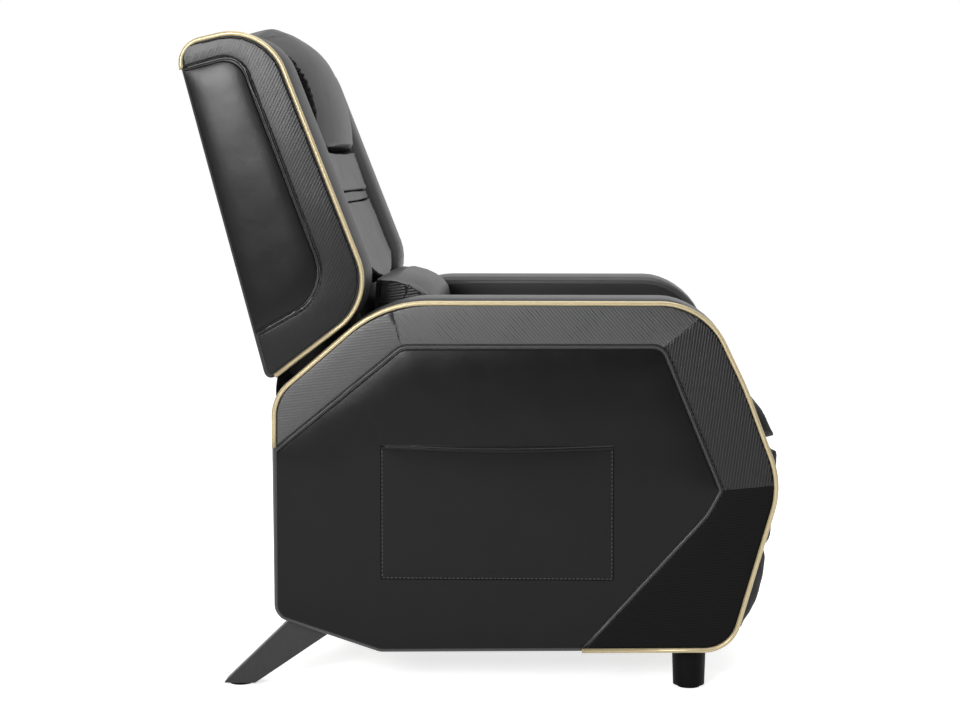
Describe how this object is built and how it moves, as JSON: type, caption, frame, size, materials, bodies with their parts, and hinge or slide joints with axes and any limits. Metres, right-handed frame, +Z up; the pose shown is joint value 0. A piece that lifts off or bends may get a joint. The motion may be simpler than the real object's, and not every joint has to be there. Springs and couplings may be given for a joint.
{
  "type": "gaming recliner",
  "caption": "Upholstered gaming recliner with padded arms, winged back, headrest and lumbar pillows, side pocket, reclining back, sliding seat and fold-out footrest.",
  "frame": {"origin": "on the floor, in the middle of the recliner's footprint", "axes": "+X is forward, the way the sitter faces; +Y is the sitter's left; +Z is up"},
  "size_m": [0.9081, 0.7676, 1.0242],
  "materials": {
    "smooth_leather": "black leatherette with a faint grain and a soft sheen",
    "gold_cord": "metallic gold vinyl cord",
    "black_plastic": "moulded black plastic",
    "black_wood": "black painted wood",
    "plain_wood": "plain sawn wood and plywood",
    "black_steel": "black powder-coated steel",
    "bright_steel": "zinc-plated steel",
    "black_cloth": "black lining cloth"
  },
  "bodies": {
    "base": {"right_arm_frame": "plain_wood", "left_arm_frame": "plain_wood", "right_arm_cover": "smooth_leather", "left_arm_cover": "smooth_leather", "right_arm_piping": "gold_cord", "left_arm_piping": "gold_cord", "side_pocket": "smooth_leather", "right_front_leg": "black_plastic", "left_front_leg": "black_plastic", "right_rear_leg": "black_wood", "left_rear_leg": "black_wood", "foot_glides": "black_plastic", "leg_bolts": "bright_steel", "front_rail": "plain_wood", "middle_rail": "plain_wood", "rear_rail": "plain_wood", "rail_bolts": "bright_steel", "rear_panel": "black_cloth", "dust_cover": "black_cloth", "seat_tracks": "black_steel", "back_brackets": "black_steel", "back_pivot_pins": "bright_steel", "rear_gusset": "black_cloth"},
    "seat": {"seat_side_rails": "plain_wood", "seat_cross_rails": "plain_wood", "seat_springs": "bright_steel", "spring_clips": "bright_steel", "seat_cushion": "smooth_leather", "seat_plates": "black_steel", "seat_runners": "black_plastic", "seat_rivets": "bright_steel"},
    "backrest": {"back_uprights": "plain_wood", "back_rails": "plain_wood", "back_webbing": "black_cloth", "back_body": "smooth_leather", "back_outer_panel": "smooth_leather", "right_wing": "smooth_leather", "left_wing": "smooth_leather", "wing_boards": "plain_wood", "right_wing_piping": "gold_cord", "left_wing_piping": "gold_cord", "upper_back_pad": "smooth_leather", "back_pad_band": "smooth_leather", "lower_back_pad": "smooth_leather", "headrest_pillow": "smooth_leather", "back_arms": "black_steel", "back_drive_pins": "bright_steel", "back_arm_bolts": "bright_steel"},
    "lumbar": {"lumbar_pillow": "smooth_leather"},
    "front_links": {"front_links": "black_steel", "crank_pins": "bright_steel"},
    "rear_links": {"rear_links": "black_steel"},
    "carriers": {"footrest_carriers": "black_steel", "carrier_tube": "black_steel", "carrier_rivets": "bright_steel"},
    "control_links": {"control_links": "black_steel"},
    "footrest": {"footrest_brackets": "black_steel", "footrest_board": "plain_wood", "footrest_pad": "smooth_leather", "footrest_rivets": "bright_steel"}
  },
  "joints": [
    {"name": "back_recline", "type": "hinge", "parent": "base", "child": "backrest", "pos_m": [-0.236, 0, 0.384], "axis": [0, -1, 0], "range_deg": [0, 45], "deforming": ["rear_gusset"]},
    {"name": "seat_advance", "type": "slide", "parent": "base", "child": "seat", "axis": [1, 0, 0], "range_m": [0, 0.0689]},
    {"name": "footrest_open", "type": "hinge", "parent": "seat", "child": "front_links", "pos_m": [0.28, 0, 0.298], "axis": [0, -1, 0], "range_deg": [0, 90]},
    {"name": "rear_link_turn", "type": "hinge", "parent": "seat", "child": "rear_links", "pos_m": [0.13, 0, 0.298], "axis": [0, -1, 0], "range_deg": [0, 90]},
    {"name": "carrier_swing", "type": "hinge", "parent": "front_links", "child": "carriers", "pos_m": [0.23212, 0, 0.16644], "axis": [0, -1, 0], "range_deg": [-90, 0]},
    {"name": "footrest_turn", "type": "hinge", "parent": "carriers", "child": "footrest", "pos_m": [0.383, 0, 0.318], "axis": [0, -1, 0], "range_deg": [0, 90]},
    {"name": "control_link_turn", "type": "hinge", "parent": "footrest", "child": "control_links", "pos_m": [0.38126, 0, 0.26803], "axis": [0, -1, 0], "range_deg": [-90, 0]},
    {"name": "lumbar_slide", "type": "slide", "parent": "backrest", "child": "lumbar", "axis": [0, 0, 1], "range_m": [0, 0.1]}
  ],
  "couplings": [
    {"joint": "seat_advance", "follows": "back_recline", "m_per_rad": 0.087705},
    {"joint": "rear_link_turn", "follows": "footrest_open", "ratio": 1},
    {"joint": "carrier_swing", "follows": "footrest_open", "ratio": -1},
    {"joint": "footrest_turn", "follows": "footrest_open", "ratio": 1},
    {"joint": "control_link_turn", "follows": "footrest_open", "ratio": -1}
  ]
}
